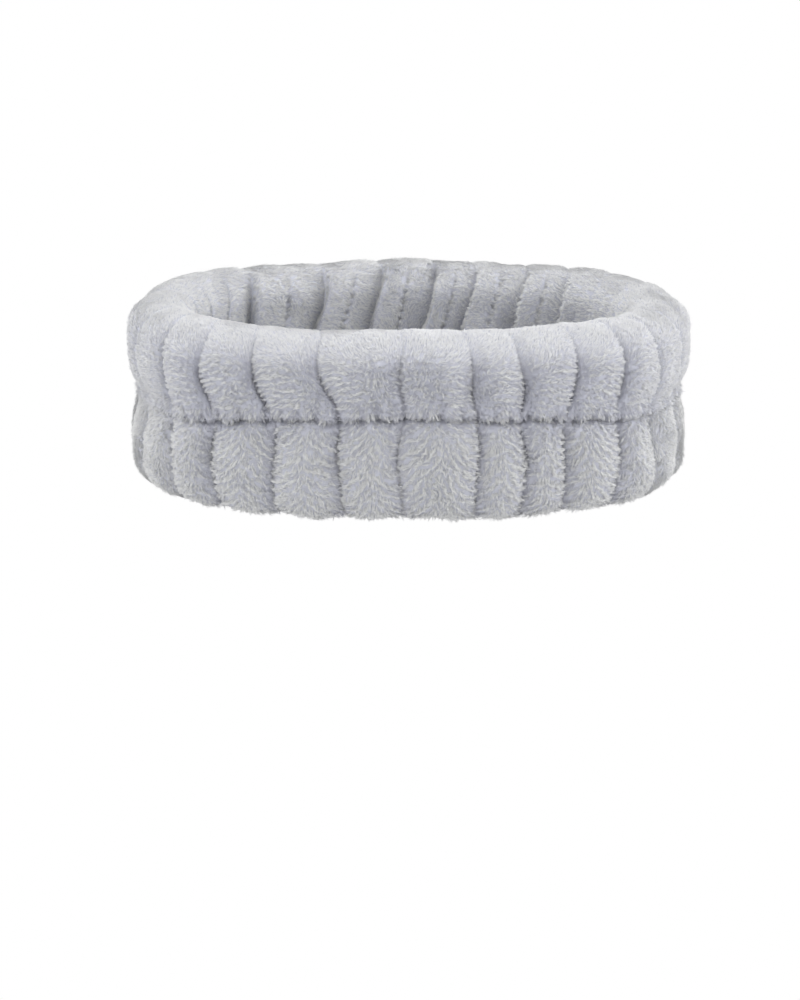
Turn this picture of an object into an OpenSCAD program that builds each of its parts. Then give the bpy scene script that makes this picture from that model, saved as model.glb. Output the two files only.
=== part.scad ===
// Spa headband: a gathered fleece tube over two rolls of wadding, drawn in at the waist by an
// elastic loop. The ring lies on its lower rim as a flat oval, with +X along its length, -Y at its
// front and the floor at z = 0. The band stretches open from front to back, so every ring is cut
// into a front half and a back half at the two ends of the oval.

/* [Band] */
// Length of the relaxed band, outside
band_l = 225; // [200:1:250]
// Height of the band
band_h = 76; // [66:1:90]
// Thickness of the padded band, from its inner face to its outer face
band_t = 32; // [28:1:36]
// Radius of the oval's two tight ends, measured at the middle of the padding
end_r = 38; // [32:1:44]
// Angle through which each quarter of the tight ends turns, which sets the depth of the oval
end_angle = 69; // [64:1:76]

/* [Lobes] */
// Height of the gathered waist line above the floor
waist_z = 39; // [34:1:44]
// How far the two lobes run into each other at the waist
lobe_overlap = 4; // [3:0.5:8]
// Radius of the lobes' rounded edges
lobe_r = 13; // [10:0.5:13]
// How far the upper lobe stands out beyond the lower one
upper_lean = 1.5; // [0:0.5:3]
// Thickness of the fleece, backing and pile together
fleece_t = 3.5; // [2.5:0.5:4]

/* [Gathers] */
// Puffs along each long side
long_side_puffs = 6; // [4:2:8]
// Whole puffs in each quarter of the ends, besides half of the one at the very end
end_puffs = 3; // [2:1:4]
// Depth of the fold between two puffs
fold_depth = 2; // [1:0.25:2.25]
// Radius of the fold between two puffs
fold_r = 4; // [3:0.5:6]

/* [Elastic] */
// Width of the elastic
elastic_w = 10; // [6:1:14]
// Thickness of the elastic
elastic_t = 1.5; // [1:0.1:2]
// Length over which the elastic's two ends lie on each other
elastic_lap = 20; // [12:1:30]

/* [Thread] */
// Radius of the sewing thread
thread_r = 0.35; // [0.2:0.05:0.5]
// Length of one stitch
stitch_l = 3.5; // [2:0.5:6]
// Distance from one stitch to the next
stitch_pitch = 5; // [4:0.5:10]

/* [Hidden] */
$fn = 48;

// The halves stop this angle short of the plane that parts them.
gap_angle = 0.25;
// The wadding and the elastic keep this far from what holds them.
ease = 0.3;

// The oval runs through the middle of the padding: a long arc at the front and at the back, and
// a tight arc at each end.
half_l = band_l / 2 - band_t / 2 - upper_lean / 2;
end_x = half_l - end_r;
side_r = end_r + end_x / cos(end_angle);
side_y = end_x * tan(end_angle);
side_angle = 180 - 2 * end_angle;
half_d = side_r - side_y;

// Lobes, each as [lower edge, height, shift outward]
lower_lobe = [0, waist_z + lobe_overlap / 2, -upper_lean / 2];
upper_lobe = [waist_z - lobe_overlap / 2, band_h - waist_z + lobe_overlap / 2, upper_lean / 2];
// Depth to which the lobes' edges leave the waist open, on each face
crease_rise = lobe_r - lobe_overlap / 2;
crease_run = sqrt(lobe_r * lobe_r - crease_rise * crease_rise);
crease_face = band_t / 2 - lobe_r + crease_run;
// The lean of the upper lobe moves the crease down on the outer face and up on the inner face.
crease_shift = upper_lean / 2 * crease_run / crease_rise;

// The seam that closes the fleece tube runs inside the wall, on the inner face of the lower lobe.
closing_z = waist_z / 2;
closing_face = band_t / 2 + upper_lean / 2 - fleece_t / 2;

// The lapped end of the elastic, and the bars of stitches across it
lap_angle = elastic_lap / side_r * 180 / PI;
lap_bars = 5;

// Colours
fleece_grey = [0.71, 0.72, 0.75];
wadding_white = [0.93, 0.93, 0.91];
elastic_white = [0.88, 0.88, 0.86];
thread_grey = [0.58, 0.59, 0.63];

// A rectangle with round corners, standing on y = 0 and centred on x = 0
module rounded(w, h, r) {
    translate([-w / 2 + r, 0]) square([w - 2 * r, h]);
    translate([-w / 2, r]) square([w, h - 2 * r]);
    for (side = [-1, 1], end = [r, h - r])
        translate([side * (w / 2 - r), end]) circle(r);
}

// The cross-section of one lobe, drawn in by a margin on every side
module lobe(l, margin) {
    translate([l[2], l[0] + margin])
        rounded(band_t - 2 * margin, l[1] - 2 * margin, lobe_r - margin);
}

// Turns the back half of the oval, side 1, into the front half, side -1.
module to_side(side) {
    rotate(side > 0 ? 0 : 180) children();
}

// Moves children in a whole step and two fine ones, so that the arcs of the oval meet exactly
module move_exactly(direction, distance) {
    whole = floor(distance);
    fine = floor((distance - whole) * 1000) / 1000;
    translate(whole * direction) translate(fine * direction)
        translate((distance - whole - fine) * direction) children();
}

// Carries a cross-section, x outward and y up, along one half of the oval
module half_ring(side) {
    to_side(side) {
        move_exactly([0, -1, 0], side_y)
            rotate_extrude(angle = side_angle, start = end_angle)
                move_exactly([1, 0], side_r) children();
        translate([end_x, 0, 0])
            rotate_extrude(angle = end_angle - gap_angle, start = gap_angle)
                translate([end_r, 0]) children();
        translate([-end_x, 0, 0])
            rotate_extrude(angle = end_angle - gap_angle, start = 180 - end_angle)
                translate([end_r, 0]) children();
    }
}

// Places children at even steps round one half: at a distance out from the oval, facing outward.
// The steps are counted separately on the long side and on each quarter end.
module around_half(side, out, side_steps, end_steps) {
    end_step = end_angle / (end_steps + 0.5);
    to_side(side) {
        for (i = [0 : side_steps])
            translate([0, -side_y, 0])
                rotate(end_angle + side_angle * i / side_steps) translate([side_r + out, 0, 0])
                    children();
        for (end = [-1, 1], i = [1 : end_steps])
            translate([end * end_x, 0, 0])
                rotate(90 - end * (90 - end_step * (i - 0.5)))
                    translate([end_r + out, 0, 0]) children();
    }
}

// The upright folds between the puffs, on the outer and the inner face
module folds(side) {
    for (face = [-1, 1])
        around_half(side, face * (band_t / 2 + fold_r - fold_depth), long_side_puffs, end_puffs)
            translate([0, 0, -1]) cylinder(h = band_h + 2, r = fold_r);
}

// One half of the fleece cover, hollow where the wadding lies
module cover(side) {
    color(fleece_grey)
    difference() {
        half_ring(side) difference() {
            union() {
                lobe(lower_lobe, 0);
                lobe(upper_lobe, 0);
            }
            lobe(lower_lobe, fleece_t);
            lobe(upper_lobe, fleece_t);
            elastic_slot();
        }
        folds(side);
    }
}

// The elastic stands on edge in the middle of the waist. Layer 0 is the loop, and layer 1 is the
// end that lies over it on the inside.
module elastic_section(layer) {
    translate([-elastic_t * (layer + 0.5), waist_z - elastic_w / 2]) square([elastic_t, elastic_w]);
}

// The channel that the cover and the wadding leave for both layers of the elastic
module elastic_slot() {
    translate([-elastic_t * 1.5 - ease, waist_z - elastic_w / 2 - ease])
        square([elastic_t * 2 + 2 * ease, elastic_w + 2 * ease]);
}

module wadding(side, l) {
    color(wadding_white)
    half_ring(side) difference() {
        lobe(l, fleece_t + ease);
        elastic_slot();
    }
}

module elastic(side) {
    color(elastic_white) {
        half_ring(side) elastic_section(0);
        if (side > 0)
            move_exactly([0, -1, 0], side_y)
                rotate_extrude(angle = lap_angle, start = 90 - lap_angle / 2)
                    move_exactly([1, 0], side_r) elastic_section(1);
    }
}

// Stitches laid end to end along the oval, at a distance out and a height
module stitch_row(side, out, z) {
    side_length = (side_r + out) * side_angle * PI / 180;
    end_length = (end_r + out) * end_angle * PI / 180;
    around_half(side, out, round(side_length / stitch_pitch), round(end_length / stitch_pitch))
        translate([0, 0, z]) stitch();
}

// One stitch, a straight thread along the row
module stitch() {
    rotate([90, 0, 0]) cylinder(h = stitch_l, r = thread_r, center = true, $fn = 16);
}

// The gathering stitches lie in the crease of the waist, on the outer face, 1, or the inner, -1
module gather_thread(side, face) {
    color(thread_grey)
        stitch_row(side, face * (crease_face + thread_r), waist_z - face * crease_shift);
}

module closing_seam(side) {
    color(thread_grey) stitch_row(side, -closing_face, closing_z);
}

// Bars of stitches across the lapped end of the elastic
module elastic_lap_stitches() {
    color(thread_grey)
    for (i = [0 : lap_bars - 1])
        translate([0, -side_y, waist_z])
            rotate(90 + lap_angle * 0.8 * (i / (lap_bars - 1) - 0.5))
                translate([side_r - elastic_t * 1.5 + thread_r / 2, 0, 0])
                    cylinder(h = elastic_w * 0.8, r = thread_r, center = true, $fn = 16);
}

// Short stitches across the fold at the middle of the back, where the tube's two ends meet
module end_seam() {
    color(thread_grey)
    for (l = [lower_lobe, upper_lobe]) {
        flank = l[1] - 2 * lobe_r;
        count = round(flank / stitch_pitch);
        for (i = [0 : count])
            translate([0, half_d + band_t / 2 + l[2] - fold_depth, l[0] + lobe_r + flank * i / count])
                rotate([0, 90, 0]) cylinder(h = stitch_l, r = thread_r, center = true, $fn = 16);
    }
}

cover(-1);  // cover_front
cover(1);  // cover_back
wadding(-1, upper_lobe);  // upper_wadding_front
wadding(1, upper_lobe);  // upper_wadding_back
wadding(-1, lower_lobe);  // lower_wadding_front
wadding(1, lower_lobe);  // lower_wadding_back
elastic(-1);  // elastic_front
elastic(1);  // elastic_back
elastic_lap_stitches();
gather_thread(-1, 1);  // gather_thread_outer_front
gather_thread(1, 1);  // gather_thread_outer_back
gather_thread(-1, -1);  // gather_thread_inner_front
gather_thread(1, -1);  // gather_thread_inner_back
closing_seam(-1);  // closing_seam_front
closing_seam(1);  // closing_seam_back
end_seam();
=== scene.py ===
"""The looks of the spa headband: a gathered fleece tube with a deep pile, its wadding, elastic and threads.

The band is drawn on a grid. Its columns run round the ring and its rows round the cross-section, which has
two padded lobes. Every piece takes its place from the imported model's box. Lengths are in metres.
"""
import math

import bpy
import numpy as np
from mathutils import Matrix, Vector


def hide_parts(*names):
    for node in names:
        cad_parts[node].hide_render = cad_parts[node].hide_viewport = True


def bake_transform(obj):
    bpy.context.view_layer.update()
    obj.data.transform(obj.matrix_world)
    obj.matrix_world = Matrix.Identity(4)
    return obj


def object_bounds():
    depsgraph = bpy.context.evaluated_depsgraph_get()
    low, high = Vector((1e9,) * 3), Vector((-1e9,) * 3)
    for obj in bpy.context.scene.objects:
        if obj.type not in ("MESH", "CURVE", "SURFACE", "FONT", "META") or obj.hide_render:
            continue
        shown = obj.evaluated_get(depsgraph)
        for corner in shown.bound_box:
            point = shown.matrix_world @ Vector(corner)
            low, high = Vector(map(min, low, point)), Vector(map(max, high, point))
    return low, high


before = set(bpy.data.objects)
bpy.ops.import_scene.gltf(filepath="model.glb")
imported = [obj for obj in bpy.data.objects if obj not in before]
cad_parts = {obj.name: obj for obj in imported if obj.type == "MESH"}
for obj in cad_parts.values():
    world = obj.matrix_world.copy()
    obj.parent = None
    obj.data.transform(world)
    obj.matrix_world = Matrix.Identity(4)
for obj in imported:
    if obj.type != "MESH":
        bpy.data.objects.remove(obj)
cad_low, cad_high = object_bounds()

MM = 0.001

# --- Sizes of the band -------------------------------------------------------------------------------------
PAD_T = 32 * MM             # thickness of the padded band
END_ANGLE = math.radians(69)  # half the turn of each of the oval's two tight ends
WAIST_Z = 39 * MM           # height of the gathered waist line
LOBE_OVERLAP = 4 * MM       # height that the two lobes share at the waist
LOBE_R = 13 * MM            # radius of the lobes' edges at the rim and under the band
LOWER_WAIST_R = 6.0 * MM    # radius of the lower lobe's edges at the waist
UPPER_WAIST_R = 4.5 * MM    # radius of the upper lobe's edges at the waist
LEAN = 1.5 * MM             # how far the upper lobe stands out beyond the lower one
BAND_H = cad_high.z - cad_low.z
WAIST_SWING = 3.5 * MM      # the waist line swings up this far at the front and back, and down at the ends
WAIST_LIFT = 0.75           # height of the middle of that swing over WAIST_Z, counted in swings
FABRIC_T = 0.9 * MM         # thickness of the fleece's knitted backing
PILE_H = 2.9 * MM           # how far the backing lies inside the lobes' outline, to leave room for the pile
FLEECE_GAP = 0.4 * MM       # room between the backing and the wadding
WADDING_DEPTH = PILE_H + FABRIC_T + FLEECE_GAP
ELASTIC_W = 10 * MM         # the elastic's width, which stands upright
ELASTIC_T = 1.5 * MM        # the thickness of one layer of it
ELASTIC_LAP = 20 * MM       # length over which the elastic's two ends lie on each other
THREAD_R = 0.35 * MM
STITCH_L = 3.5 * MM         # length of each stitch
STITCH_PITCH = 5 * MM       # distance from one stitch to the next

# --- Sizes of the folds and pleats -------------------------------------------------------------------------
# Where each upright fold crosses the upper and the lower lobe, in millimetres round the ring from the middle
# of the front, towards +X first
UPPER_FOLDS = (-1, 21, 39, 60, 76, 89, 102, 114, 127, 141, 156, 172, 190, 212, 228, 252, 276, 307, 321, 335,
               348, 361, 374, 388, 401, 419, 444)
LOWER_FOLDS = (-2, 24, 41, 56, 76, 89, 103, 116, 129, 143, 157, 173, 191, 210, 230, 253, 277, 303, 320, 334,
               348, 361, 375, 389, 404, 427, 451)
PUFFS = len(UPPER_FOLDS)
FOLD_BOW = 1.6 * MM         # how far the folds on the outside bow away from the middle of the front
FOLD_WANDER = 0.6 * MM      # how far each fold strays from a smooth line
FOLD_SLIT = 0.8 * MM        # half width of the slit at the bottom of a fold
# Height of the puffs in millimetres at each turn of the cross-section, from the outer waist over the rim and
# back under the band. A turn is counted in quarters, as quarter_turn() says.
PUFF_RISE = ((0, 0.9), (0.08, 2.2), (0.2, 3.9), (0.33, 3.7), (0.45, 2.7), (0.56, 1.8), (0.8, 0.7),
             (1.0, 0.2), (2.7, 0.2), (3.0, 0.8), (3.3, 1.8), (3.42, 3.0), (3.56, 4.6), (3.7, 5.4),
             (3.88, 3.6), (4, 0.9))
CROWN = 1.9 * MM            # how much fuller the cloth stands over the rim
PLEAT_DEPTH = 5.8 * MM      # how far the edge of each pleat on the inside stands over the start of the next
PLEAT_SLANT = 0.22          # how far these pleats lean sideways for their height
PLEAT_FIXED_Z = 0.059       # the height at which the leaning pleats keep their place
CREASE_DEPTH = 2.4 * MM     # depth of the stitched crease up the middle of each of them
CREASE_HALF = 0.9 * MM      # half width of that crease
CREASE_PITCH = 4.6 * MM     # distance between its stitches
SHORT_PLEAT_DEPTH = 1.6 * MM  # depth of the short pleats that fan out from the waist line
SHORT_PLEAT_PITCH = 6.4 * MM  # distance between them
WAIST_FILL = 3.6 * MM       # how far the waist's crease is filled round the ends of the oval
WAIST_VALLEY = 4.2 * MM     # how far the upper lobe sinks there towards the waist
WAIST_WANDER = 0.4 * MM     # how far the waist line strays up and down

# --- Colours, linear ---------------------------------------------------------------------------------------
# The backing is painted darker and bluer than the pile, as the shade deep down in it.
BACKING = (0.45, 0.46, 0.52)
WADDING = (0.86, 0.86, 0.84)
ELASTIC = (0.80, 0.80, 0.78)
THREAD = (0.34, 0.35, 0.39)
# The fibres of the pile, darkest first: lit and shaded copies of one grey fleece. The darker, bluer tones
# are painted shade and the lighter ones painted light, besides the fleece's own random spread.
TONES = ((0.485, 0.492, 0.558), (0.558, 0.564, 0.60), (0.62, 0.625, 0.635), (0.675, 0.68, 0.68))


# --- Curves that several pieces share ----------------------------------------------------------------------
def smoothstep(low, high, value):
    t = np.clip((value - low) / (high - low), 0, 1)
    return t * t * (3 - 2 * t)


def within(value, start, end):
    """1 between the two spans start and end, 0 outside them, and a smooth change across each span."""
    return smoothstep(*start, value) * (1 - smoothstep(*end, value))


def hump(distance, reach):
    """1 where the distance is 0, falling smoothly to nearly 0 at twice the reach on both sides."""
    return np.exp(-(distance / reach) ** 2)


def profile(value, pairs):
    """A line through given pairs of a value and its result."""
    return np.interp(value, *np.transpose(pairs))


def ripple(points, scale, seed, waves=18):
    """Smooth noise of about unit size, whose bumps are about scale across."""
    rng = np.random.default_rng(seed)
    way = rng.normal(size=(waves, 3))
    way /= np.linalg.norm(way, axis=1)[:, None]
    pitch = 2 * math.pi / (scale * rng.uniform(1.2, 2.6, waves))
    phase = rng.uniform(0, 2 * math.pi, waves)
    total = np.zeros(points.shape[:-1])
    for direction, k, p in zip(way, pitch, phase):
        total += np.sin(points @ (direction * k) + p)
    return total * math.sqrt(2 / waves)


def unit(v):
    return v / np.maximum(np.linalg.norm(v, axis=-1, keepdims=True), 1e-12)


# --- The oval ----------------------------------------------------------------------------------------------
HALF_L = (cad_high.x - cad_low.x) / 2 - PAD_T / 2 - LEAN / 2
HALF_D = (cad_high.y - cad_low.y) / 2 - PAD_T / 2 - LEAN / 2
# The half depth is END_R + SIDE_SHARE * END_X.
SIDE_SHARE = 1 / math.cos(END_ANGLE) - math.tan(END_ANGLE)
END_R = (HALF_D - HALF_L * SIDE_SHARE) / (1 - SIDE_SHARE)
END_X = HALF_L - END_R
SIDE_R = END_R + END_X / math.cos(END_ANGLE)
SIDE_Y = END_X * math.tan(END_ANGLE)
SIDE_HALF = math.pi / 2 - END_ANGLE
# Each arc of the oval: centre, radius, first angle and turn, from the middle of the front towards +X
ARCS = (
    (0, SIDE_Y, SIDE_R, -math.pi / 2, SIDE_HALF),
    (END_X, 0, END_R, -END_ANGLE, 2 * END_ANGLE),
    (0, -SIDE_Y, SIDE_R, END_ANGLE, 2 * SIDE_HALF),
    (-END_X, 0, END_R, math.pi - END_ANGLE, 2 * END_ANGLE),
    (0, SIDE_Y, SIDE_R, -math.pi / 2 - SIDE_HALF, SIDE_HALF),
)
ARC_ENDS = np.cumsum([radius * turn for _, _, radius, _, turn in ARCS])
LOOP = float(ARC_ENDS[-1])


def on_ring(c):
    """Points of the oval at distances c round it, and its outward directions there."""
    c = np.mod(c, LOOP)
    k = np.minimum(np.searchsorted(ARC_ENDS, c, side="right"), len(ARCS) - 1)
    x, y, radius, first, turn = (np.array([arc[i] for arc in ARCS], float)[k] for i in range(5))
    angle = first + turn - (ARC_ENDS[k] - c) / radius
    out = np.stack([np.cos(angle), np.sin(angle)], -1)
    return np.stack([x, y], -1) + radius[..., None] * out, out


def in_band(c, r, z):
    """Points at distance c round the ring, r outward from the oval and z up. The waist line climbs towards
    the front and the back and sinks at the ends, while the rim and the underside stay level."""
    c, r, z = np.broadcast_arrays(c, r, z)
    middle, out = on_ring(c)
    xy = middle + r[..., None] * out
    climb = WAIST_SWING * (WAIST_LIFT + np.cos(4 * math.pi * c / LOOP))
    share = np.clip(1 - ((z - WAIST_Z) / (BAND_H / 2)) ** 2, 0, 1) ** 2
    return np.stack([xy[..., 0], xy[..., 1], z + climb * share], -1)


def frontness(c):
    """1 at the middle of the front, 0 at the middle of the back."""
    return 0.5 + 0.5 * np.cos(2 * math.pi * c / LOOP)


def from_middle(c):
    """Which way leads from the middle of the front round to the back: 1 towards +X, -1 towards -X."""
    return np.clip(3 * np.sin(2 * math.pi * c / LOOP), -1, 1)


def sway(c, waves):
    """A sum of waves round the ring. Each has its number of periods, its height and its start."""
    return sum(height * np.sin(2 * math.pi * c / LOOP * periods + start) for periods, height, start in waves)


# --- The cross-section -------------------------------------------------------------------------------------
def lobe_distance(r, z, edge_z, waist_z, shift, waist_r):
    """Signed distance to one lobe: a rectangle with round edges, from its outer edge to the waist."""
    to_waist = (z - (edge_z + waist_z) / 2) * (1 if waist_z > edge_z else -1)
    round_r = np.where(to_waist > 0, waist_r, LOBE_R)
    qr = np.abs(r - shift) - (PAD_T / 2 - round_r)
    qz = np.abs(to_waist) - (abs(waist_z - edge_z) / 2 - round_r)
    return np.hypot(np.maximum(qr, 0), np.maximum(qz, 0)) + np.minimum(np.maximum(qr, qz), 0) - round_r


LOWER_LOBE = (0.0, WAIST_Z + LOBE_OVERLAP / 2, -LEAN / 2, LOWER_WAIST_R)
UPPER_LOBE = (BAND_H, WAIST_Z - LOBE_OVERLAP / 2, LEAN / 2, UPPER_WAIST_R)


def both_lobes(r, z):
    return np.minimum(lobe_distance(r, z, *LOWER_LOBE), lobe_distance(r, z, *UPPER_LOBE))


def beside_elastic(r, z):
    """Signed distance to what lies outside the channel that holds both layers of the elastic."""
    side = np.abs(r + ELASTIC_T / 2) - (ELASTIC_T + FLEECE_GAP)
    end = np.abs(z - WAIST_Z) - (ELASTIC_W / 2 + FLEECE_GAP)
    return -np.maximum(side, end) - WADDING_DEPTH


def wadding_distance(lobe):
    return lambda r, z: np.maximum(lobe_distance(r, z, *lobe), beside_elastic(r, z))


class Section:
    """A cross-section seen from a centre: how far out its skin lies in each direction, at each depth."""

    LEVELS = np.arange(-13, 3, 0.25) * MM   # the depths of skin that are worked out
    STEPS = np.arange(0, 46, 0.1) * MM      # the distances that are tried along each direction
    RAYS = 1440                             # directions that measure the skin, before the rows are spread

    def __init__(self, distance, centre_r, centre_z, rows, rest_level):
        self.centre = (centre_r, centre_z)
        self.angle = np.linspace(0, 2 * math.pi, self.RAYS, endpoint=False)
        self.table = self.reaches(distance)
        r, z = (line[0] for line in self.at(np.full((1, len(self.angle)), rest_level)))
        run = np.hypot(np.diff(r, append=r[0]), np.diff(z, append=z[0]))
        run = np.concatenate([[0], np.cumsum(run)])
        self.perimeter = run[-1]
        # The rows lie evenly along the skin at rest_level.
        self.angle = np.interp(np.arange(rows) / rows * run[-1], run, np.append(self.angle, 2 * math.pi))
        self.table = self.reaches(distance)

    def reaches(self, distance):
        """How far along each direction the distance field last passes each level, seen from the centre."""
        r = self.centre[0] + np.cos(self.angle)[:, None] * self.STEPS
        z = self.centre[1] + np.sin(self.angle)[:, None] * self.STEPS
        field = distance(r, z)
        row = np.arange(len(self.angle))
        table = np.empty((len(self.LEVELS), len(row)))
        for k, level in enumerate(self.LEVELS):
            below = field < level
            last = below.shape[1] - 1 - np.argmax(below[:, ::-1], axis=1)
            last = np.clip(np.where(below.any(axis=1), last, 0), 0, len(self.STEPS) - 2)
            a, b = field[row, last], field[row, last + 1]
            share = np.clip((level - a) / np.where(b - a > 1e-9, b - a, 1e-9), 0, 1)
            table[k] = self.STEPS[last] + share * (self.STEPS[1] - self.STEPS[0])
        # Where the two lobes part, the skin spans the gap between them.
        fall = 2 * (self.LEVELS[1] - self.LEVELS[0])
        for k in range(len(table) - 2, -1, -1):
            table[k] = np.maximum(table[k], table[k + 1] - fall)
        return table

    def at(self, level):
        """r and z for a grid of levels, one column for each row of this section."""
        place = (level - self.LEVELS[0]) / (self.LEVELS[1] - self.LEVELS[0])
        place = np.clip(place, 0, len(self.LEVELS) - 1.001)
        k = place.astype(int)
        row = np.arange(level.shape[1])[None, :]
        reach = self.table[k, row] * (1 - (place - k)) + self.table[k + 1, row] * (place - k)
        return self.centre[0] + reach * np.cos(self.angle), self.centre[1] + reach * np.sin(self.angle)


def quarter_turn(r, z):
    """The turn of a point round the cross-section, counted in quarters: 0 is the outer waist, 1 the top, 2
    the inner waist and 3 the underside. It is stretched so that these come at whole quarters."""
    return np.mod(np.arctan2((z - WAIST_Z) / (BAND_H / 2), r / (PAD_T / 2)) / (math.pi / 2), 4)


# --- Folds and puffs ---------------------------------------------------------------------------------------
# The plain numbers here and in the pile's formulas are turns, and shares that were chosen.
def fold_places(turn, z):
    """Where each fold lies round the ring, for one turn and height in each row of the cross-section."""
    upper, lower = np.array(UPPER_FOLDS) * MM, np.array(LOWER_FOLDS) * MM
    # From the outer waist to the inner waist each fold goes over to its place on the upper lobe and back.
    start = smoothstep(-0.1, 0.5, 0)
    share = np.maximum(smoothstep(-0.1, 0.5, turn) - start, 0) / (1 - start)
    share = share * (1 - smoothstep(1.6, 2.4, turn))
    slant = np.interp(turn, (0.7, 1.3, 2.7, 3.3), (0, 1, 1, 0)) * PLEAT_SLANT * (PLEAT_FIXED_Z - z)
    wander = FOLD_WANDER * np.sin(z[:, None] / (6 * MM) + 2.4 * np.arange(PUFFS))
    # On the outside each fold bows away from the middle of the front.
    arch = np.sin(np.pi * np.where(z > WAIST_Z, (z - WAIST_Z) / (BAND_H - WAIST_Z), z / WAIST_Z)) ** 2
    arch = arch * np.interp(turn, (0.8, 1.1, 2.9, 3.2), (1, 0, 0, 1))
    bow = FOLD_BOW * arch[:, None] * np.where((lower > 0) & (lower < LOOP / 2), 1, -1)
    return lower + share[:, None] * (upper - lower) + slant[:, None] + wander + bow


def along_puff(n, crowd=0.5):
    """n places across a puff from 0 to 1, crowded towards the folds."""
    k = np.arange(n) / n
    return k - crowd * np.sin(2 * math.pi * k) / (2 * math.pi)


def columns(n_each, turn, z):
    """For each grid point, its distance round the ring, its place across its puff, and the puff's number
    and width."""
    folds = fold_places(turn, z)
    following = np.concatenate([folds[:, 1:], folds[:, :1] + LOOP], axis=1)
    across = np.tile(along_puff(n_each), PUFFS)
    puff = np.repeat(np.arange(PUFFS), n_each)
    c = folds[:, puff] + (following - folds)[:, puff] * across
    return c.T, across[:, None], puff[:, None], (following - folds)[:, puff].T


def fold_gap(across, width):
    """How far a point lies from the nearer fold of its puff."""
    return np.minimum(across, 1 - across) * width


def skin_level(turn, z, c, across, puff, width):
    """How far the fleece's backing stands off the lobes, for every point of a grid."""
    turn = np.broadcast_to(turn, c.shape)
    above = z - WAIST_Z
    # The pleats on the inside start just below the rim at the back, and farther down at the front.
    inner = smoothstep(0, 0.3, turn - 1.02 - 0.33 * frontness(c)) * (1 - smoothstep(2.6, 3.0, turn))
    sideways = np.abs(on_ring(c)[0][..., 0]) / HALF_L
    at_end = smoothstep(0.72, 0.95, sideways)
    outside = puff_level(turn, above, c, across, puff, width, at_end) + waist_level(above, at_end)
    inside = pleat_level(above, z, across, width) * (1 - 0.85 * smoothstep(0.7, 0.77, sideways))
    crown = CROWN * hump(turn - 1, 0.35)
    creased = SHORT_PLEAT_DEPTH * short_pleats(c, z) * (1 - np.maximum(inner, at_end))
    return outside * (1 - inner) + inside * inner + crown - creased - PILE_H


def puff_level(turn, above, c, across, puff, width, at_end):
    """Height of the puffs on the outside. They differ in plumpness, and their folds in tightness."""
    rng = np.random.default_rng(7)
    plump = rng.uniform(0.75, 1.25, (PUFFS, 2))
    tightness = rng.uniform((0.75, 0.6), (1.15, 1.0), (PUFFS, 2))
    lobe = (turn >= 2).astype(int)
    fold = np.where(across < 0.5, puff, (puff + 1) % PUFFS)
    # The folds are slack round the tight ends of the oval, where the cloth is pulled over the wadding, and
    # slacker where they run into the gathered waist.
    tight = tightness[fold, lobe] * (1 - np.where(turn < 2, 0.4, 0.7) * at_end)
    tight = tight * (1 - 0.6 * hump(above, 3 * MM))
    # Each puff swells towards its far edge and slopes gently down to the edge nearer the front's middle.
    skew = from_middle(c) * (2 * across - 1)
    drop = np.abs(2 * across - 1) ** np.where(turn < 2, 2.6 + 0.5 * skew, 1.9 + 0.8 * skew)
    slit = hump(fold_gap(across, width), FOLD_SLIT) * np.where(turn < 2, 0.3, 0.2)
    return profile(turn, PUFF_RISE) * MM * (0.27 * plump[puff, lobe] - tight * (0.75 * drop + slit))


def waist_level(above, at_end):
    """Round the ends of the oval the pile fills the waist's crease, and the upper lobe rounds into it."""
    valley = hump(above - 3 * MM, np.where(above > 3 * MM, 6 * MM, 9 * MM))
    return (WAIST_FILL * hump(above, 3 * MM) - WAIST_VALLEY * valley) * at_end


def pleat_level(above, z, across, width):
    """On the inner face each pleat climbs slowly to a proud edge and drops behind it to the next one. The
    pleats run together a little at the waist."""
    climb = np.sin(across * math.pi / 2) - smoothstep(0.9, 1, across)
    lapped = PLEAT_DEPTH * (climb - 0.75) - CREASE_DEPTH * mid_crease(across, width, z)
    return lapped + 1.8 * MM * hump(above, 3.5 * MM)


def mid_crease(across, width, z):
    """How deep a point lies in the stitched crease up the middle of its pleat, from 0 to 1."""
    dots = 0.65 + 0.35 * np.sin(2 * math.pi * z / CREASE_PITCH)
    return hump((across - 0.5) * width, CREASE_HALF) * dots


def short_pleats(c, z):
    """How deep a point lies in the short pleats that fan out from the waist line, from 0 to 1. They are
    longer above the line than below it, and widest at the line."""
    above = z - WAIST_Z
    near = hump(above, np.where(above > 0, 7 * MM, 3 * MM))
    uneven = sway(c, ((5, 1, 0), (13, 0.7, 1)))
    off = np.abs(np.sin(math.pi * c / SHORT_PLEAT_PITCH + uneven)) * SHORT_PLEAT_PITCH / math.pi
    return near * hump(off, 0.35 * MM + 0.35 * MM * near)


def waist_wander(c, z):
    """How far the gathered line wanders up and down."""
    waves = ((9, 1, 1), (23, 0.8, 0), (41, 0.7, 2), (67, 0.5, 0))
    return WAIST_WANDER * sway(c, waves) * hump(z - WAIST_Z, 9 * MM)


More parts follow.
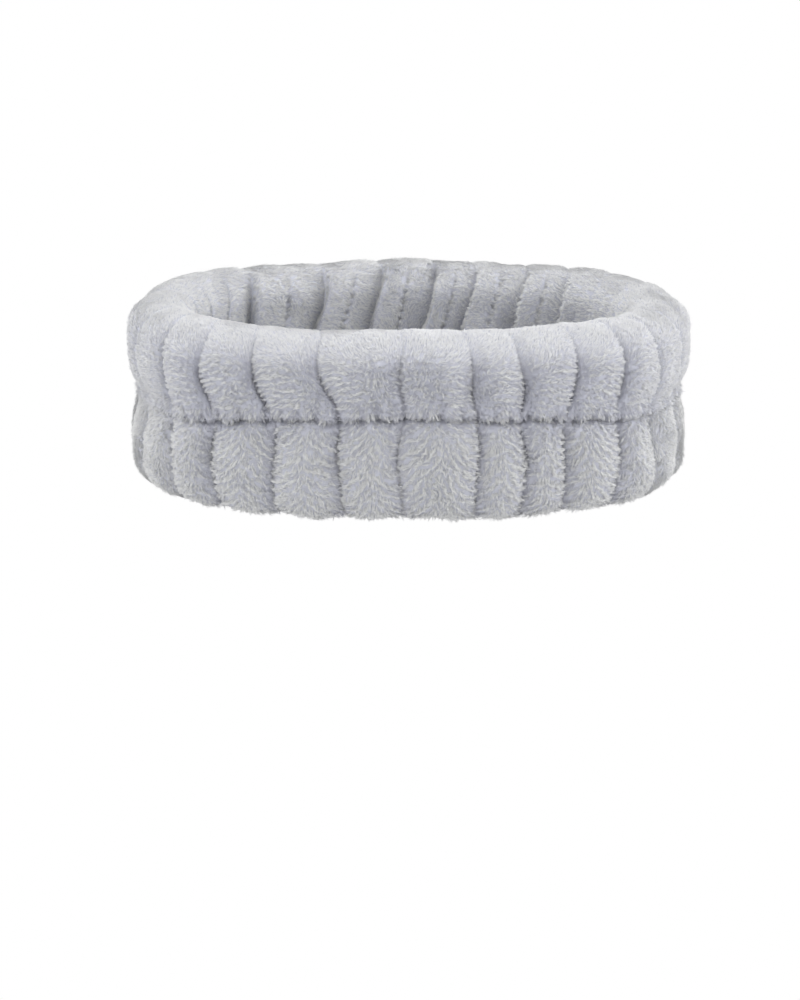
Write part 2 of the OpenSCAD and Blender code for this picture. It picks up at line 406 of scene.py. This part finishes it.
class Band:
    """A closed surface of the gathered band as a grid, columns by rows, at a depth below its backing."""

    def __init__(self, section, n_each, depth, rest_level):
        r0, z0 = section.at(np.full((1, len(section.angle)), rest_level))
        turn = quarter_turn(r0[0], z0[0])
        c, self.across, puff, self.width = columns(n_each, turn, z0[0])
        level = skin_level(turn, z0, c, self.across, puff, self.width) - depth
        if depth:
            # What lies under the fleece keeps below its folds on every side.
            for axis in (0, 1):
                level = np.minimum(level, np.minimum(np.roll(level, 1, axis), np.roll(level, -1, axis)))
        # The padding is a little lumpy, in small bumps and in large ones.
        points = in_band(c, *section.at(level))
        lumps = (ripple(points, 9 * MM, 11) * 0.2 + ripple(points, 30 * MM, 12) * 0.3) * MM
        r, z = section.at(level + lumps)
        self.points = in_band(c, r, z + waist_wander(c, z))
        # The surface keeps a little off the floor.
        self.points[..., 2] = np.maximum(self.points[..., 2], 0.2 * MM)
        self.c = c
        self.row_run = np.arange(len(turn)) / len(turn) * section.perimeter
        self.turn = np.broadcast_to(turn, c.shape)
        self.rest_z = z0[0]
        self.columns, self.rows = c.shape

    def at(self, c, row, lift=0.0):
        """Points on one row at distances c round the ring, moved outward by lift."""
        place = np.append(self.c[:, row], self.c[0, row] + LOOP)
        c = place[0] + np.mod(np.asarray(c, float) - place[0], LOOP)
        line = np.concatenate([self.points[:, row], self.points[:1, row]])
        found = np.stack([np.interp(c, place, line[:, k]) for k in range(3)], -1)
        found[..., :2] += on_ring(c)[1] * lift
        return found

    def row_near(self, turn, z=None):
        """The row closest to a turn or, among the rows within half a quarter of it, to a height."""
        gap = np.abs(np.mod(self.turn[0] - turn + 2, 4) - 2)
        if z is None:
            return int(np.argmin(gap))
        height = np.abs(self.points[..., 2].mean(0) - z)
        return int(np.argmin(np.where(gap < 0.5, height, 1.0)))


# --- Meshes ------------------------------------------------------------------------------------------------
def grid_faces(columns_n, rows_n, first=0, flip=False):
    """Quads of a grid that closes on itself both ways."""
    i, j = np.meshgrid(np.arange(columns_n), np.arange(rows_n), indexing="ij")
    i2, j2 = (i + 1) % columns_n, (j + 1) % rows_n
    quads = np.stack([i * rows_n + j, i2 * rows_n + j, i2 * rows_n + j2, i * rows_n + j2], -1).reshape(-1, 4)
    return (quads[:, ::-1] if flip else quads) + first


def grid_sample(grid, i, j, a, b):
    """Vectors of a grid that closes on itself, between its points."""
    i2, j2 = (i + 1) % grid.shape[0], (j + 1) % grid.shape[1]
    a, b = a[:, None], b[:, None]
    near = grid[i, j] * (1 - a) + grid[i2, j] * a
    far = grid[i, j2] * (1 - a) + grid[i2, j2] * a
    return near * (1 - b) + far * b


def make_mesh(name, verts, faces, materials, face_materials=None, normals=None):
    """An object from arrays: faces is a list of arrays, each with one number of corners. face_materials says
    which of the materials each face has, and normals which way each vertex is shaded."""
    mesh = bpy.data.meshes.new(name)
    mesh.vertices.add(len(verts))
    mesh.vertices.foreach_set("co", np.ascontiguousarray(verts, np.float32).ravel())
    corners = np.concatenate([f.ravel() for f in faces]).astype(np.int32)
    sizes = np.concatenate([np.full(len(f), f.shape[1]) for f in faces]).astype(np.int32)
    mesh.loops.add(len(corners))
    mesh.loops.foreach_set("vertex_index", corners)
    mesh.polygons.add(len(sizes))
    mesh.polygons.foreach_set("loop_start", np.concatenate([[0], np.cumsum(sizes)[:-1]]).astype(np.int32))
    mesh.polygons.foreach_set("use_smooth", np.full(len(sizes), True))
    if face_materials is not None:
        mesh.polygons.foreach_set("material_index", face_materials.astype(np.int32))
    mesh.update(calc_edges=True)
    mesh.validate()
    if normals is not None:
        mesh.normals_split_custom_set_from_vertices(normals.astype(np.float32))
    obj = bpy.data.objects.new(name, mesh)
    bpy.context.scene.collection.objects.link(obj)
    for material in materials:
        mesh.materials.append(material)
    return obj


def settle(obj, slot, *nodes):
    """Bakes a piece's place into its mesh and hides the imported parts that it stands in for. The slot is
    not used.
    """
    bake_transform(obj)
    if nodes:
        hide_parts(*nodes)


# --- Materials ---------------------------------------------------------------------------------------------
def new_material(name):
    """A material and its shader."""
    material = bpy.data.materials.new(name)
    material.use_nodes = True
    return material, material.node_tree.nodes["Principled BSDF"]


def add_noise(tree, scale, detail):
    """Noise that keeps its place on a piece: returns the socket with its value."""
    place = tree.nodes.new("ShaderNodeTexCoord")
    noise = tree.nodes.new("ShaderNodeTexNoise")
    noise.inputs["Scale"].default_value = scale
    noise.inputs["Detail"].default_value = detail
    tree.links.new(place.outputs["Object"], noise.inputs["Vector"])
    return noise.outputs["Fac"]


def fuzzy_material(name, colour, spread, scale, bump_scale, bump_depth):
    """A finely rough cloth, whose colour drifts lighter and darker by the spread, a share of itself."""
    material, shader = new_material(name)
    tree = material.node_tree
    ramp = tree.nodes.new("ShaderNodeValToRGB")
    ramp.color_ramp.elements[0].position = 0.3
    ramp.color_ramp.elements[1].position = 0.7
    ramp.color_ramp.elements[0].color = [v * (1 - spread) for v in colour] + [1]
    ramp.color_ramp.elements[1].color = [min(1, v * (1 + spread)) for v in colour] + [1]
    tree.links.new(add_noise(tree, scale, 4.0), ramp.inputs["Fac"])
    tree.links.new(ramp.outputs["Color"], shader.inputs["Base Color"])
    shader.inputs["Roughness"].default_value = 0.95
    shader.inputs["Specular IOR Level"].default_value = 0.1
    bump = tree.nodes.new("ShaderNodeBump")
    bump.inputs["Strength"].default_value = 0.5
    bump.inputs["Distance"].default_value = bump_depth
    tree.links.new(add_noise(tree, bump_scale, 2.0), bump.inputs["Height"])
    tree.links.new(bump.outputs["Normal"], shader.inputs["Normal"])
    return material


def pile_material(name, colour):
    """A matt fibre that catches a soft light from the side."""
    material, shader = new_material(name)
    shader.inputs["Base Color"].default_value = [*colour, 1]
    shader.inputs["Roughness"].default_value = 1.0
    shader.inputs["Sheen Weight"].default_value = 0.35
    shader.inputs["Sheen Roughness"].default_value = 0.5
    shader.inputs["Specular IOR Level"].default_value = 0.0
    return material


# --- The cover ---------------------------------------------------------------------------------------------
COVER_ROWS, COVER_EACH = 168, 18    # rows, and columns in each puff
LINING_ROWS, LINING_EACH = 60, 9


def make_cover(skin):
    """The fleece's backing: a hollow tube with folds and puffs, closed on itself."""
    lining = Band(Section(both_lobes, 0, WAIST_Z, LINING_ROWS, -PILE_H), LINING_EACH, FABRIC_T, -PILE_H)
    verts = np.concatenate([skin.points.reshape(-1, 3), lining.points.reshape(-1, 3)])
    outside = grid_faces(skin.columns, skin.rows)
    inside = grid_faces(lining.columns, lining.rows, first=skin.columns * skin.rows, flip=True)
    backing = fuzzy_material("fleece_backing", BACKING, spread=0.1, scale=400, bump_scale=1500,
                             bump_depth=0.1 * MM)
    cover = make_mesh("fleece_cover", verts, [outside, inside], [backing])
    settle(cover, "fleece", "cover_front", "cover_back")


# --- The pile ----------------------------------------------------------------------------------------------
LOCK_AREA = 0.88 * MM * MM  # one lock of pile grows on this much backing
LOCK_R = 0.40 * MM          # how far a lock's fibres start from its middle
FIBRES_EACH = 4             # fibres in a lock
FIBRE_SIDES = 3
FIBRE_R_MM = (0.11, 0.15)   # least and greatest radius of a fibre, in millimetres
FIBRE_L_MM = 2.5            # length of the fibres on the puffs, in millimetres
CALM_CUT_MM = 0.4           # how much shorter they are where they lie smooth and on the inside
PIECE_FIBRES = 19500        # the most fibres in one piece of the pile
RIDGE_PITCH = 2.4 * MM      # the combed pile draws together in ridges this far apart
RIDGE_H = 0.22 * MM         # height of these ridges over the mean
EDGE = 2 * MM               # width along each fold over which the ridges fade out
# How densely the pile grows, by its turn: it is thickest over the rim and thinnest under the band
PILE_CROWD = ((0, 1), (0.4, 1), (0.6, 1.2), (1.2, 1.2), (1.5, 0.8), (2.5, 0.65), (2.8, 0.5), (2.9, 0.3),
              (3.1, 0.35), (3.25, 1), (4, 1))


def lock_places(skin, rng):
    """The grid cells of the backing where locks grow, spread evenly over its area, and the place in each."""
    along = np.roll(skin.points, -1, 0) - skin.points
    up = np.roll(skin.points, -1, 1) - skin.points
    area = (np.linalg.norm(np.cross(along, up), axis=-1) * profile(skin.turn, PILE_CROWD)).ravel()
    total = area.sum()
    n = int(total / LOCK_AREA)
    pick = np.searchsorted(np.cumsum(area) / total, (np.arange(n) + rng.uniform(0, 1, n)) / n)
    i, j = np.divmod(np.minimum(pick, area.size - 1), skin.rows)
    return i, j, rng.uniform(0, 1, n), rng.uniform(0, 1, n)


class Locks:
    """Every lock of the pile: where it grows, which way it lies, how long it is and how light."""

    def __init__(self, skin, rng):
        i, j, a, b = lock_places(skin, rng)
        points = skin.points
        side = unit(np.roll(points, -1, 0) - np.roll(points, 1, 0))
        rise = unit(np.roll(points, -1, 1) - np.roll(points, 1, 1))
        self.root = grid_sample(points, i, j, a, b)
        self.normal = unit(grid_sample(unit(np.cross(side, rise)), i, j, a, b))
        self.side, self.rise = unit(grid_sample(side, i, j, a, b)), unit(grid_sample(rise, i, j, a, b))
        self.c, self.turn, self.z = skin.c[i, j], skin.turn[i, j], skin.rest_z[j]
        self.width = skin.width[i, j]
        self.across = skin.across[i, 0] + a * (np.roll(skin.across[:, 0], -1) - skin.across[:, 0])[i] % 1
        self.fan = 2 * self.across - 1
        self.from_fold = fold_gap(self.across, self.width)
        # Distance round the cross-section from the middle of the upper puffs
        self.run = skin.row_run[j] + b * skin.row_run[1] - skin.row_run[skin.row_near(0.42)]
        self.mark_places()
        self.grow(rng)

    def mark_places(self):
        """How far each lock belongs to the parts of the band that differ in their pile, from 0 to 1."""
        turn = self.turn
        self.front = frontness(self.c)
        self.at_end = smoothstep(0.7, 0.9, np.abs(self.root[:, 0]) / cad_high.x)
        self.outer = 1 - within(turn, (0.8, 1.0), (3.0, 3.2))
        self.inner = within(turn, (1.2, 1.5), (2.6, 2.9))
        self.pleated = short_pleats(self.c, self.z) * (1 - self.at_end)
        # The pile lies smooth over the rim and round the ends of the oval.
        rim = smoothstep(0.3, 0.55, turn) * (1 - 0.5 * smoothstep(1.3, 1.6, turn))
        rim = rim * (1 - smoothstep(2.6, 3.0, turn))
        self.calm = np.maximum(rim, 0.8 * self.at_end)

    def grow(self, rng):
        """Combs the locks, and gives them their length and tone."""
        n = len(self.root)
        way, ridge = combed(self)
        self.way = unit(way + rng.normal(size=(n, 3)) * (0.06 - 0.04 * self.calm)[:, None])
        even = (FIBRE_L_MM - CALM_CUT_MM * np.maximum(self.inner, self.calm)) * MM
        self.length = even * kept_length(self) * (1 + 0.15 * ridge) * rng.uniform(0.85, 1.15, n)
        # The tone is painted light and shade, with a random spread of the fleece's own.
        self.tone = painted_light_and_shade(self, ridge) + rng.normal(size=n) * (0.55 - 0.4 * self.calm)
        # How much of a lock's shading comes from the cloth under it
        self.smooth = 0.35 * (1 - self.at_end) + self.calm * self.front ** 2
        self.root = self.root + self.normal * (RIDGE_H * ridge)[:, None]


def combed(locks):
    """Which way the pile lies, and how high it stands on its ridge, from -1 to 1. Over it all, the tips draw
    together into ridges that run the way the pile lies."""
    root, turn, calm, fan = locks.root, locks.turn, locks.calm, locks.fan
    upper = 1 - smoothstep(0.8, 1.05, turn)
    lower = smoothstep(3.05, 3.25, turn)
    inside = np.clip(1 - upper - lower, 0, 1)
    waist_above = 1 - smoothstep(0.02, 0.16, turn)
    waist_below = smoothstep(3.84, 3.98, turn)
    rim = smoothstep(0.25, 0.6, turn) * upper
    # Along the ring the pile fans out over each puff, and is brushed from the front's middle to the back.
    brushed = from_middle(locks.c)
    lean_side = (0.7 * fan * (1 - calm) + 0.6 * brushed) * upper
    lean_side = lean_side + 0.85 * fan * (1 - 0.5 * calm) * lower + 0.5 * brushed * inside
    lean_side = lean_side * (1 - 0.7 * waist_above - 0.5 * waist_below - 0.3 * rim)
    lean_side = lean_side + 0.15 * ripple(root, 9 * MM, 31)
    # Round the cross-section it hangs down on the lower puffs and just above the waist. Over the rim it
    # leans towards the inside, less so at the back.
    back = smoothstep(-0.3, 0.3, -np.cos(2 * math.pi * locks.c / LOOP))
    over_rim = 0.55 * rim + 0.5 * inside
    lean_rise = over_rim * (1 - 0.9 * back) - 0.7 * waist_above * upper - 0.5 * lower
    lean_rise = lean_rise + 0.15 * ripple(root, 7 * MM, 32)
    # It stands up most beside the waist, and least where it lies smooth.
    at_waist = np.maximum(waist_above * upper, waist_below)
    lift = 0.42 + 0.06 * upper - 0.25 * calm * (1 - 0.9 * lower) + 0.2 * at_waist
    lift = lift + 0.04 * ripple(root, 5 * MM, 33)
    # The ridges lie level on the upper puffs and slope down and outward on the lower ones.
    slope = 0.7 * lower - 0.35 * rim
    over = locks.run * np.sqrt(1 - slope ** 2) + np.abs(fan) * locks.width / 2 * slope
    phase = 2 * math.pi * over / RIDGE_PITCH + 1.4 * ripple(root, 7 * MM, 34) + ripple(root, 3 * MM, 35)
    gather = -(0.4 + 0.05 * upper) * np.sin(phase) * (1 - 0.6 * np.maximum(inside, calm))
    gather = gather * smoothstep(0, EDGE, locks.from_fold)
    lean_side = lean_side + gather * slope * np.sign(fan)
    lean_rise = lean_rise + gather * np.sqrt(1 - slope ** 2)
    way = locks.normal * lift[:, None] + locks.side * lean_side[:, None] + locks.rise * lean_rise[:, None]
    return unit(way), np.cos(phase) * (1 - 0.85 * calm) * smoothstep(0, EDGE, locks.from_fold)


def kept_length(locks):
    """The share of its length that the pile keeps. It is pressed short along the folds and in creases."""
    kept = 1 - 0.45 * (1 - smoothstep(0, 1.4 * MM, locks.from_fold))
    kept = kept - 0.5 * locks.outer * locks.pleated
    return kept - 0.5 * (1 - locks.outer) * mid_crease(locks.across, locks.width, locks.z)


def painted_light_and_shade(locks, ridge):
    """Where each lock comes among the tones, as painted light and shade. The ridges are painted lighter than
    the hollows between them, as if they caught more light.
    """
    below = smoothstep(3.1, 3.3, locks.turn)
    # Painted shade: near the folds the pile is painted a little darker, most on the side nearer the front's
    # middle.
    skewed = from_middle(locks.c) * locks.fan
    painted_shade = (1 - 0.6 * skewed) * (1 - smoothstep(0, 7 * MM, locks.from_fold)) * (1 - 0.7 * locks.calm)
    # Painted shade darkens it near the waist too, more below the line than above it, and most of all in the
    # short pleats. This shade falls only on the outside, and little round the ends of the oval.
    above = locks.z - WAIST_Z
    painted_shade = painted_shade + np.where(above > 0, 0.4, 0.8) * hump(above, 7 * MM)
    painted_shade = (painted_shade * (1 + 0.4 * below) + 2.4 * locks.pleated) * locks.outer * (1 - 0.8 * locks.at_end)
    at_rim = within(locks.turn, (0.4, 0.65), (1.2, 1.6))
    # Painted highlight on the ridges, and painted shade in the narrow hollows between them, less on the
    # lower puffs.
    tone = 1.5 + (1.0 - 0.6 * below) * ridge - 0.6 * (1 - smoothstep(-0.8, -0.4, ridge)) - 1.1 * painted_shade
    # Painted light: the inner face, the rim away from the front's middle and the lower puffs are painted
    # lighter.
    return tone + 2.0 * locks.inner + 0.8 * at_rim * (1 - 0.7 * locks.front) + 1.15 * below


def fibre_arrays(root, way, normal, length, radius, smooth):
    """Three-sided fibres that bend over and taper to a point, closed at the root."""
    n = len(root)
    middle = root + unit(way + normal * 0.5) * (length * 0.5)[:, None]
    tip = middle + unit(way - normal * 0.3) * (length * 0.5)[:, None]
    flat = unit(np.cross(way, normal) + 1e-9)
    deep = unit(np.cross(way, flat))
    verts = np.empty((n, 2 * FIBRE_SIDES + 1, 3))
    # A fibre takes part of its shading from the cloth under it, as the fine hairs of a soft pile do.
    shading = np.empty(verts.shape)
    cloth = normal * smooth[:, None]
    for k in range(FIBRE_SIDES):
        angle = 2 * math.pi * k / FIBRE_SIDES + math.pi / 2
        off = flat * math.cos(angle) + deep * math.sin(angle) * 0.5
        verts[:, k] = root + off * radius[:, None]
        verts[:, FIBRE_SIDES + k] = middle + off * (radius * 0.85)[:, None]
        shading[:, k] = shading[:, FIBRE_SIDES + k] = unit(cloth + off + 0.1 * way)
    verts[:, -1] = tip
    shading[:, -1] = unit(cloth + way)
    base = (np.arange(n) * verts.shape[1])[:, None]
    ring = [(k, (k + 1) % FIBRE_SIDES) for k in range(FIBRE_SIDES)]
    walls = np.concatenate([base + np.array([k, k2, FIBRE_SIDES + k2, FIBRE_SIDES + k]) for k, k2 in ring])
    points = [base + np.array([FIBRE_SIDES + k, FIBRE_SIDES + k2, 2 * FIBRE_SIDES]) for k, k2 in ring]
    root_ends = base + np.arange(FIBRE_SIDES)[::-1]
    return verts.reshape(-1, 3), shading.reshape(-1, 3), [walls, np.concatenate([*points, root_ends])]


def make_pile(skin):
    """The pile, in pieces that follow one another round the ring."""
    rng = np.random.default_rng(21)
    locks = Locks(skin, rng)
    lock = np.repeat(np.arange(len(locks.root)), FIBRES_EACH)
    n = len(lock)
    normal, calm, length = locks.normal[lock], locks.calm[lock], locks.length[lock]
    # Where the pile lies smooth its fibres stand evenly. Elsewhere the tips of a lock draw together.
    start = rng.normal(size=(n, 3)) * LOCK_R * (0.8 + 0.7 * calm)[:, None]
    drawn = 0.5 * (1 - calm) / length
    start -= normal * np.sum(start * normal, axis=1)[:, None]
    # Each fibre starts 0.3 mm deeper than its lock, so that its root is hidden.
    root = locks.root[lock] + start - normal * 0.3 * MM
    length = length * rng.uniform(0.85, 1.1, n)
    way = unit(locks.way[lock] - start * drawn[:, None] + rng.normal(size=(n, 3)) * 0.04)
    radius = rng.uniform(*FIBRE_R_MM, n) * MM
    # A tone between two colours is shared out between the fibres of a lock.
    tone = np.clip(np.floor(locks.tone[lock] + rng.uniform(0, 1, n)), 0, len(TONES) - 1).astype(int)
    order = np.argsort(np.arctan2(root[:, 1], root[:, 0]), kind="stable")
    materials = [pile_material(f"fleece_pile_{k + 1}", colour) for k, colour in enumerate(TONES)]
    for k, chosen in enumerate(np.array_split(order, math.ceil(n / PIECE_FIBRES))):
        verts, shading, faces = fibre_arrays(root[chosen], way[chosen], normal[chosen], length[chosen],
                                             radius[chosen], locks.smooth[lock[chosen]])
        # No fibre passes through the floor.
        verts[:, 2] = np.maximum(verts[:, 2], 0.0)
        # Each side of a fibre has a wall and a point, and its root has one face.
        tones = np.tile(tone[chosen], 2 * FIBRE_SIDES + 1)
        piece = make_mesh(f"fleece_pile_{k + 1:02d}", verts, faces, materials, tones, shading)
        settle(piece, "fleece")


# --- Inside the cover --------------------------------------------------------------------------------------
WADDING_ROWS, WADDING_EACH = 64, 10
ELASTIC_RIBS = 12
LOOP_COLUMNS, LAP_COLUMNS = 320, 16     # columns of the elastic all the way round, and of its lapped end
SEAM_HEIGHTS_MM = ((14, 32), (48, 64))  # between these heights the tube's two ends are sewn together
LAP_BARS = 5                            # bars of stitches across the elastic's lap


def make_wadding():
    """Two rolls of wadding that fill the cover, one above the elastic and one below it."""
    material = fuzzy_material("wadding", WADDING, spread=0.05, scale=120, bump_scale=700,
                              bump_depth=0.8 * MM)
    for name, lobe in (("upper_wadding", UPPER_LOBE), ("lower_wadding", LOWER_LOBE)):
        middle_z = (lobe[0] + lobe[1]) / 2
        section = Section(wadding_distance(lobe), lobe[2], middle_z, WADDING_ROWS, -WADDING_DEPTH)
        roll = Band(section, WADDING_EACH, FABRIC_T + FLEECE_GAP, -WADDING_DEPTH)
        obj = make_mesh(name, roll.points.reshape(-1, 3), [grid_faces(roll.columns, roll.rows)], [material])
        settle(obj, "wadding", name + "_front", name + "_back")


def elastic_profile(layer):
    """The elastic's cross-section, standing on edge, with its ribs."""
    z = np.linspace(-ELASTIC_W / 2, ELASTIC_W / 2, ELASTIC_RIBS * 4 + 1)
    rib = 0.12 * MM * (1 - np.abs(np.cos(np.pi * (z / ELASTIC_W + 0.5) * ELASTIC_RIBS)))
    face = ELASTIC_T / 2 - rib
    r = np.concatenate([face, -face[::-1]]) - ELASTIC_T * (layer + 0.5)
    return r, np.concatenate([z, z[::-1]]) + WAIST_Z


def make_elastic():
    """The elastic's loop, and its end that lies over the loop on the inside, at the middle of the back."""
    material = fuzzy_material("elastic", ELASTIC, spread=0.06, scale=900, bump_scale=2500,
                              bump_depth=0.15 * MM)
    r, z = elastic_profile(0)
    c = np.arange(LOOP_COLUMNS) / LOOP_COLUMNS * LOOP
    loop = in_band(c[:, None], r[None], z[None]).reshape(-1, 3)
    r, z = elastic_profile(1)
    c = LOOP / 2 + np.linspace(-ELASTIC_LAP / 2, ELASTIC_LAP / 2, LAP_COLUMNS)
    lap = in_band(c[:, None], r[None], z[None]).reshape(-1, 3)
    around = len(r)
    wall = grid_faces(LAP_COLUMNS, around, len(loop))[:around * (LAP_COLUMNS - 1)]
    end = np.arange(around) + len(loop)
    caps = np.stack([end[::-1], end + around * (LAP_COLUMNS - 1)])
    faces = [grid_faces(LOOP_COLUMNS, around), wall, caps]
    obj = make_mesh("elastic_loop", np.concatenate([loop, lap]), faces, [material])
    settle(obj, "elastic", "elastic_front", "elastic_back")


def rods(start, end, radius, sides=8):
    """Straight closed rods between pairs of points."""
    n = len(start)
    along = unit(end - start)
    flat = unit(np.cross(along, np.where(np.abs(along[:, 2:]) > 0.9, [[1.0, 0, 0]], [[0, 0, 1.0]])))
    deep = np.cross(along, flat)
    angle = 2 * math.pi * np.arange(sides) / sides
    off = (flat[:, None] * np.cos(angle)[:, None] + deep[:, None] * np.sin(angle)[:, None]) * radius
    verts = np.stack([start[:, None] + off, end[:, None] + off], 1).reshape(-1, 3)
    base = (np.arange(n) * 2 * sides)[:, None]
    walls = np.concatenate([base + np.array([k, k + sides, (k + 1) % sides + sides, (k + 1) % sides])
                            for k in range(sides)])
    caps = np.concatenate([base + np.arange(sides), base + sides + np.arange(sides)[::-1]])
    return verts, [walls, caps]


def make_threads(skin):
    """The sewing: running stitches in the waist's crease and the closing seam, and the two short joins."""
    material = fuzzy_material("thread", THREAD, spread=0.08, scale=1500, bump_scale=4000,
                              bump_depth=0.05 * MM)

    def sew(name, start, end, *nodes):
        verts, faces = rods(start, end, THREAD_R)
        settle(make_mesh(name, verts, faces, [material]), "thread", *nodes)

    count = round(LOOP / STITCH_PITCH)
    c = np.arange(count) / count * LOOP
    # Each long seam: its row of the skin, and how far outward its stitches lie from the skin's surface
    seams = {"gather_thread_outer": (skin.row_near(0), THREAD_R * 0.3),
             "gather_thread_inner": (skin.row_near(2), -THREAD_R * 0.3),
             "closing_seam": (skin.row_near(2.5, WAIST_Z / 2), FABRIC_T / 2)}
    for name, (row, lift) in seams.items():
        start, end = skin.at(c - STITCH_L / 2, row, lift), skin.at(c + STITCH_L / 2, row, lift)
        sew(name, start, end, name + "_front", name + "_back")
    back = LOOP / 2
    heights = np.concatenate([np.arange(*span, STITCH_PITCH / MM) for span in SEAM_HEIGHTS_MM]) * MM
    rows = [skin.row_near(3.5 if z < WAIST_Z else 0.5, z) for z in heights]
    start, end = (np.concatenate([skin.at([back + side * STITCH_L / 2], row, -FABRIC_T / 2) for row in rows])
                  for side in (-1, 1))
    sew("end_seam_stitches", start, end, "end_seam")
    c = back + ELASTIC_LAP * 0.8 * (np.arange(LAP_BARS) / (LAP_BARS - 1) - 0.5)
    start, end = (in_band(c, -ELASTIC_T * 2, WAIST_Z + side * ELASTIC_W * 0.4) for side in (-1, 1))
    sew("elastic_lap_bars", start, end, "elastic_lap_stitches")


# --- Stage -------------------------------------------------------------------------------------------------
CAMERA_ELEVATION = math.radians(18.2)
CAMERA_DISTANCE = 1.05
AIM_BELOW = math.radians(2.46)   # how far below the band's middle the camera points
AIM_LEFT = math.radians(0.19)    # and how far to the left of it
LENS = 94.9                      # focal length, in millimetres as the sensor's width is
SENSOR = 36
FLOOR_HALF = 8.0                 # half the side of the floor
LIGHT_AIM = (0, 0, 0.04)
# Each light: its place, the side of its square and its power in watts
LIGHTS = {"left": ((-1.1, -0.2, 0.5), 1.8, 13.0),
          "right": ((1.1, -0.2, 0.5), 1.8, 17.0),
          "top": ((0.1, -0.1, 1.3), 2.0, 4.0)}


def make_camera():
    """A camera before the middle of the front, looking down on the band a little."""
    middle = (cad_low + cad_high) / 2
    camera = bpy.data.objects.new("camera", bpy.data.cameras.new("camera"))
    bpy.context.scene.collection.objects.link(camera)
    camera.location = (middle.x, middle.y - CAMERA_DISTANCE * math.cos(CAMERA_ELEVATION),
                       middle.z + CAMERA_DISTANCE * math.sin(CAMERA_ELEVATION))
    camera.rotation_euler = (math.pi / 2 - CAMERA_ELEVATION - AIM_BELOW, 0, AIM_LEFT)
    camera.data.lens = LENS
    camera.data.sensor_width = SENSOR
    bpy.context.scene.camera = camera


def make_floor():
    """A floor that glows evenly white, as a lit table does, so that nothing shades it."""
    material = bpy.data.materials.new("floor")
    material.use_nodes = True
    tree = material.node_tree
    tree.nodes.clear()
    glow = tree.nodes.new("ShaderNodeEmission")
    glow.inputs["Color"].default_value = (1, 1, 1, 1)
    glow.inputs["Strength"].default_value = 1.0
    output = tree.nodes.new("ShaderNodeOutputMaterial")
    tree.links.new(glow.outputs["Emission"], output.inputs["Surface"])
    corners = np.array([(-1, -1, 0), (1, -1, 0), (1, 1, 0), (-1, 1, 0)]) * FLOOR_HALF
    make_mesh("floor", corners, [np.array([[0, 1, 2, 3]])], [material])


def make_light(name, place, side, power):
    """A square lamp that faces LIGHT_AIM."""
    data = bpy.data.lights.new(name, "AREA")
    data.size = side
    data.energy = power
    lamp = bpy.data.objects.new(name, data)
    lamp.location = place
    way = np.array(LIGHT_AIM, float) - np.array(place, float)
    pitch = math.atan2(math.hypot(way[0], way[1]), -way[2])
    lamp.rotation_euler = (pitch, 0, math.atan2(way[1], way[0]) - math.pi / 2)
    bpy.context.scene.collection.objects.link(lamp)


def make_lights():
    """An even white sky and a lamp on each side and above."""
    world = bpy.data.worlds.new("studio")
    bpy.context.scene.world = world
    world.use_nodes = True
    sky = world.node_tree.nodes["Background"]
    sky.inputs["Color"].default_value = (1.0, 1.0, 1.0, 1)
    sky.inputs["Strength"].default_value = 1.0
    for name, (place, side, power) in LIGHTS.items():
        make_light(name, place, side, power)
    bpy.context.scene.view_settings.view_transform = "Standard"


make_camera()
make_floor()
make_lights()
skin = Band(Section(both_lobes, 0, WAIST_Z, COVER_ROWS, -PILE_H), COVER_EACH, 0, -PILE_H)
make_cover(skin)
make_pile(skin)
make_wadding()
make_elastic()
make_threads(skin)
